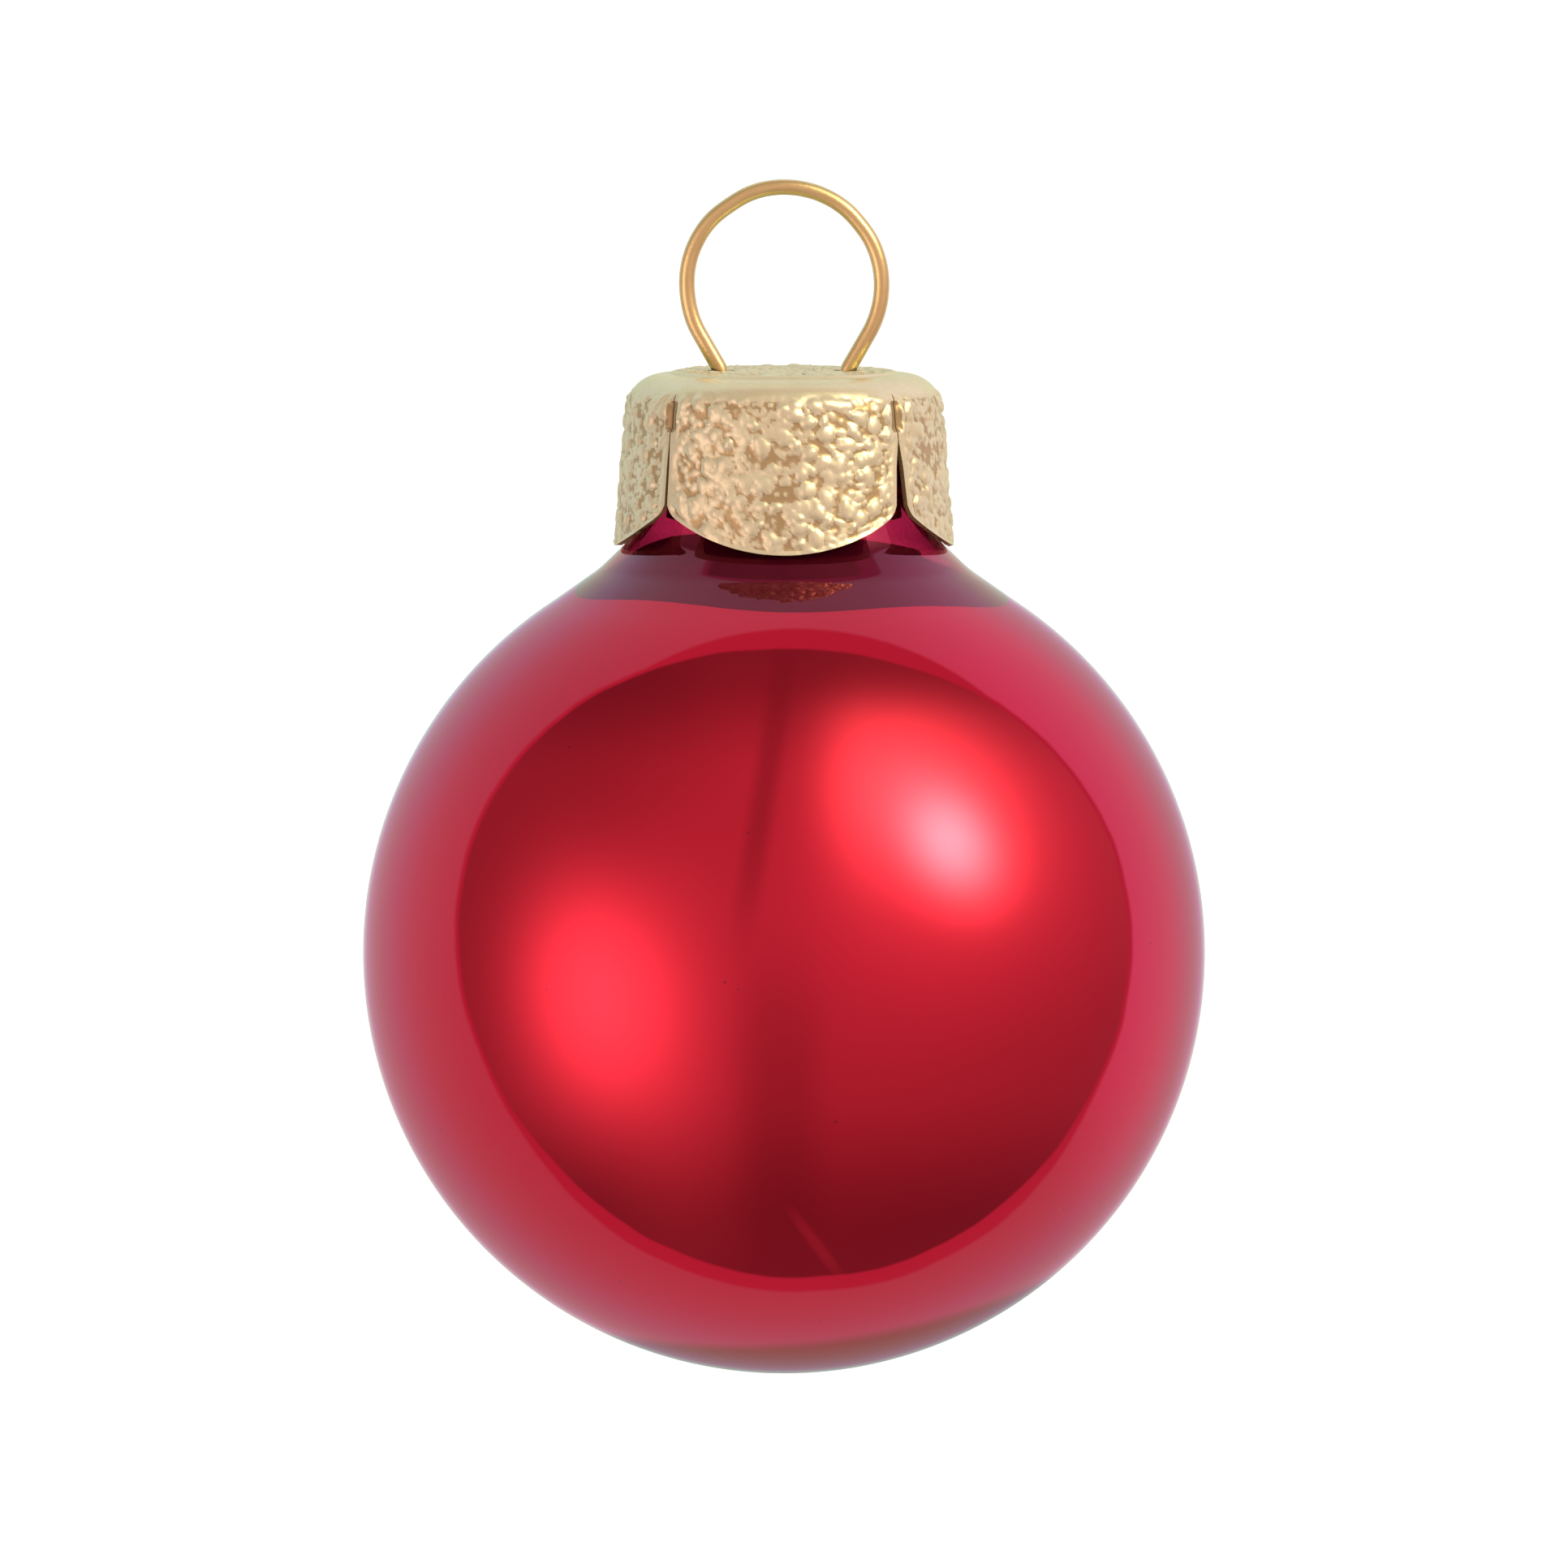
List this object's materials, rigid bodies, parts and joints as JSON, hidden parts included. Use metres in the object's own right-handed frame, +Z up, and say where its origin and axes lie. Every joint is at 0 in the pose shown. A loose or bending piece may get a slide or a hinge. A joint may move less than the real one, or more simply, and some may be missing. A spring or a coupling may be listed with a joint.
{
  "type": "glass ball ornament",
  "caption": "Round mirrored red glass ball with a short neck, a slit gold metal cap and a wire loop that hangs it from a hook or twig.",
  "frame": {"origin": "the point on the inside of the hanger's loop where a hook carries the ornament", "axes": "+Z up along the axis of the ball, neck and cap; +Y through the loop, along the hook; +X across the loop"},
  "size_m": [0.04, 0.04, 0.0568],
  "materials": {
    "red_glass": "glossy, silvered inside and lacquered red",
    "gold_cap": "satin, embossed all over with an uneven hammered grain",
    "gold_wire": "bright drawn wire"
  },
  "bodies": {
    "hanger": {"wire_hanger": "gold_wire"},
    "cap": {"metal_cap": "gold_cap"},
    "ball": {"glass_ball": "red_glass"}
  },
  "joints": [
    {"name": "hanger_tilt", "type": "hinge", "parent": "hanger", "child": "cap", "pos_m": [0, 0, -0.00846], "axis": [1, 0, 0], "range_deg": [-18, 18]},
    {"name": "ball_pull_off", "type": "slide", "parent": "cap", "child": "ball", "axis": [0, 0, -1], "range_m": [0, 0.012]}
  ]
}
